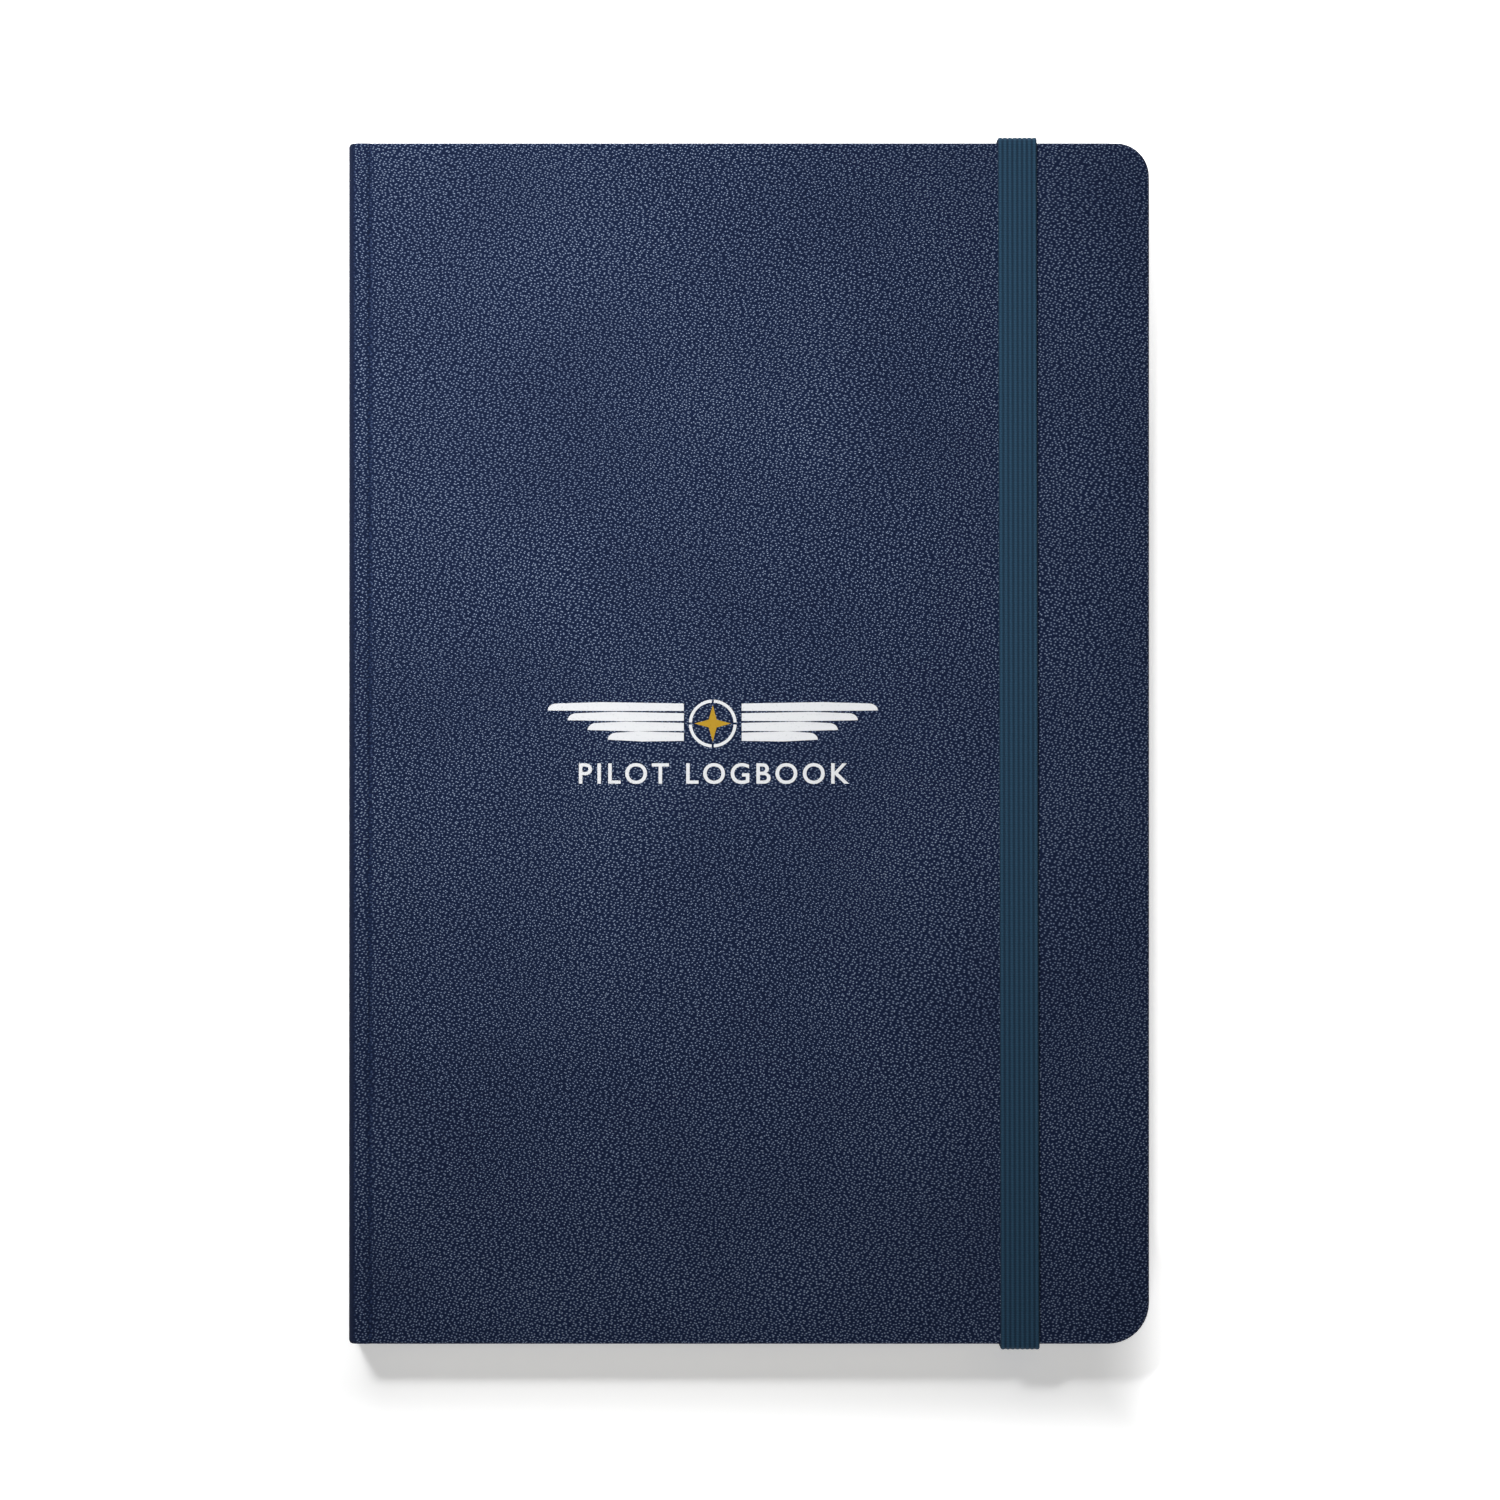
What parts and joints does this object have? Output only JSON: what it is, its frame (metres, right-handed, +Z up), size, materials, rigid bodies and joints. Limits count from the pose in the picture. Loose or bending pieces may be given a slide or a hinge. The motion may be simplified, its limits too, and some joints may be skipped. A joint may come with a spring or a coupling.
{
  "type": "pilot logbook",
  "caption": "Hard-cover bound logbook in navy leatherette with a sewn page block and an elastic closure band; opens flat in the middle.",
  "frame": {"origin": "centre of the closed book's footprint, on the face it rests on", "axes": "+X from the spine to the fore-edge, +Y from the tail to the head of the page, +Z up out of the front cover"},
  "size_m": [0.144, 0.218, 0.0152],
  "materials": {
    "leatherette": "pebble-grained, satin",
    "greyboard": "matt grey board",
    "endpaper": "uncoated cream",
    "page_paper": "uncoated cream",
    "gauze": "open cotton weave",
    "kraft_paper": "matt brown",
    "thread": "twisted linen",
    "elastic": "ribbed woven elastic",
    "white_print": "matt screen print",
    "gold_print": "satin screen print"
  },
  "bodies": {
    "back_cover": {"back_cover_skin": "leatherette", "back_board": "greyboard", "back_pastedown": "endpaper", "mull_back_flap": "gauze", "band_head_tab": "elastic", "band_tail_tab": "elastic"},
    "spine": {"spine_skin": "leatherette", "spine_stiffener": "greyboard", "back_joint_skin": "leatherette", "front_joint_skin": "leatherette", "spine_mull": "gauze", "spine_liner": "kraft_paper"},
    "front_cover": {"front_cover_skin": "leatherette", "front_board": "greyboard", "front_pastedown": "endpaper", "mull_front_flap": "gauze"},
    "front_pages": {"front_flyleaf": "endpaper", "signature_01": "page_paper", "signature_02": "page_paper", "signature_03": "page_paper", "signature_04": "page_paper", "signature_05": "page_paper", "sewing_thread_01": "thread", "sewing_thread_02": "thread", "sewing_thread_03": "thread", "sewing_thread_04": "thread", "sewing_thread_05": "thread"},
    "back_pages": {"back_flyleaf": "endpaper", "signature_06": "page_paper", "signature_07": "page_paper", "signature_08": "page_paper", "signature_09": "page_paper", "signature_10": "page_paper", "sewing_thread_06": "thread", "sewing_thread_07": "thread", "sewing_thread_08": "thread", "sewing_thread_09": "thread", "sewing_thread_10": "thread"},
    "band_ends": {"band_head_end": "elastic", "band_tail_end": "elastic"},
    "band_span": {"band_front_span": "elastic"}
  },
  "joints": [
    {"name": "spine_hinge", "type": "hinge", "parent": "back_cover", "child": "spine", "pos_m": [-0.0718, 0, 0.0002], "axis": [0, -1, 0], "range_deg": [0, 90], "deforming": ["back_joint_skin", "front_joint_skin"]},
    {"name": "front_cover_hinge", "type": "hinge", "parent": "spine", "child": "front_cover", "pos_m": [-0.0718, 0, 0.0143], "axis": [0, -1, 0], "range_deg": [0, 90]},
    {"name": "front_pages_hinge", "type": "hinge", "parent": "spine", "child": "front_pages", "pos_m": [-0.0688, 0, 0.0113], "axis": [0, -1, 0], "range_deg": [0, 90]},
    {"name": "back_pages_hinge", "type": "hinge", "parent": "spine", "child": "back_pages", "pos_m": [-0.0688, 0, 0.0032], "axis": [0, -1, 0], "range_deg": [-90, 0]},
    {"name": "closure_band_drop", "type": "slide", "parent": "back_cover", "child": "band_ends", "axis": [0, 0, -1], "range_m": [0, 0.0072], "deforming": ["band_head_end", "band_tail_end"]},
    {"name": "closure_band_pull", "type": "slide", "parent": "band_ends", "child": "band_span", "axis": [1, 0, 0], "range_m": [0, 0.034], "stiffness_N_per_m": 50, "deforming": ["band_front_span"]}
  ],
  "couplings": [
    {"joint": "front_cover_hinge", "follows": "spine_hinge", "ratio": 1},
    {"joint": "front_pages_hinge", "follows": "spine_hinge", "ratio": 1},
    {"joint": "back_pages_hinge", "follows": "spine_hinge", "ratio": -1},
    {"joint": "closure_band_drop", "follows": "spine_hinge", "m_per_rad": 0.0045836}
  ]
}
